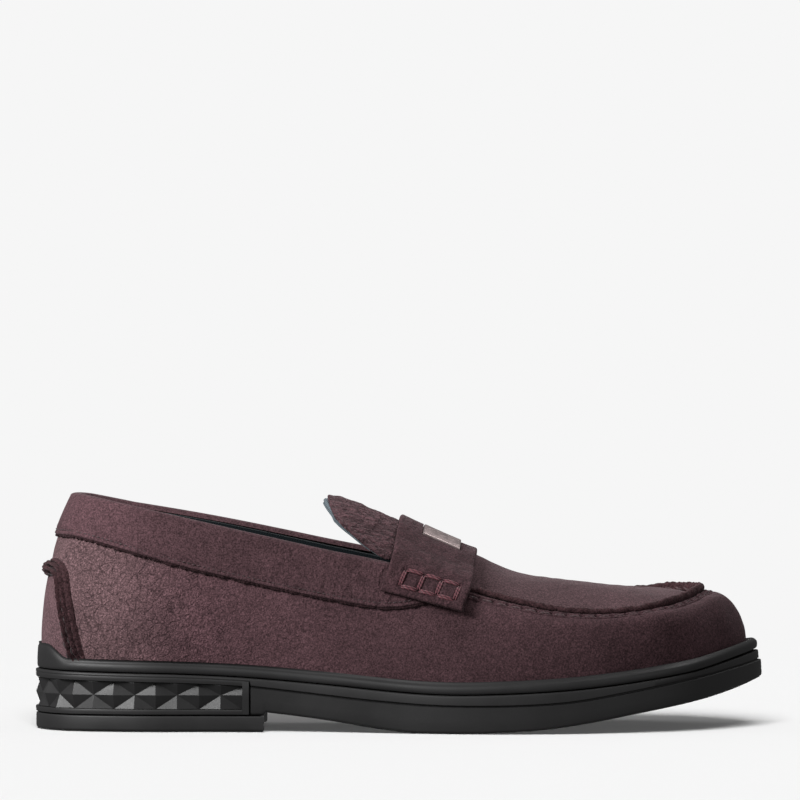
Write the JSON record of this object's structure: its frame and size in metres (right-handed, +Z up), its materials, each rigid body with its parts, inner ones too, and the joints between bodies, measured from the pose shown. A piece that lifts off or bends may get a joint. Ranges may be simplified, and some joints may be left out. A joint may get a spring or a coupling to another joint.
{
  "type": "penny loafer",
  "caption": "Moccasin-toe slip-on shoe with a saddle strap, lifting tongue, raised apron seam and a thick rubber sole with a studded heel.",
  "frame": {"origin": "centre of the bounding box, on the ground plane the shoe stands on", "axes": "+X towards the toe, +Z up, -Y towards the lateral (outer) side of this right shoe"},
  "size_m": [0.3, 0.111, 0.0963],
  "materials": {
    "nubuck": "matt pebbled nubuck, dark aubergine brown",
    "rubber": "satin black moulded rubber",
    "lining": "dark teal woven lining",
    "tongue_lining": "pale blue-grey lining",
    "board": "pressed fibre board",
    "cork": "granulated cork",
    "foam": "soft closed-cell foam",
    "steel": "plain steel",
    "plate": "brushed metal with a warm grey plating",
    "thread": "waxed burgundy thread"
  },
  "bodies": {
    "shoe": {"outsole": "rubber", "heel_top_lift": "rubber", "heel_stud_band": "rubber", "storm_rand": "rubber", "heel_nail_1": "steel", "heel_nail_2": "steel", "heel_nail_3": "steel", "heel_nail_4": "steel", "heel_nail_5": "steel", "heel_filler": "foam", "forepart_filler": "cork", "shank": "steel", "insole_board": "board", "shank_rivet_1": "steel", "shank_rivet_2": "steel", "footbed_foam": "foam", "sock_liner": "lining", "vamp_wall": "nubuck", "heel_patch": "nubuck", "heel_piping": "nubuck", "collar_band": "nubuck", "collar_foam": "foam", "quarter_lining": "lining", "vamp_lining": "lining", "heel_counter": "board", "toe_puff": "board", "collar_thread": "thread", "apron_plug": "nubuck", "apron_lining": "lining", "apron_welt": "nubuck", "apron_thread": "thread", "saddle_strap": "nubuck", "penny_plate": "plate", "plate_rivet_1": "steel", "plate_rivet_2": "steel", "strap_stitch_lateral": "thread", "strap_stitch_medial": "thread"},
    "tongue": {"tongue_leather": "nubuck", "tongue_foam": "foam", "tongue_lining": "tongue_lining"}
  },
  "joints": [
    {"name": "tongue_lift", "type": "hinge", "parent": "shoe", "child": "tongue", "pos_m": [-0.0016, -0.0009, 0.0856], "axis": [0, 1, 0], "range_deg": [-8, 30], "stiffness_Nm_per_rad": 0.25}
  ]
}
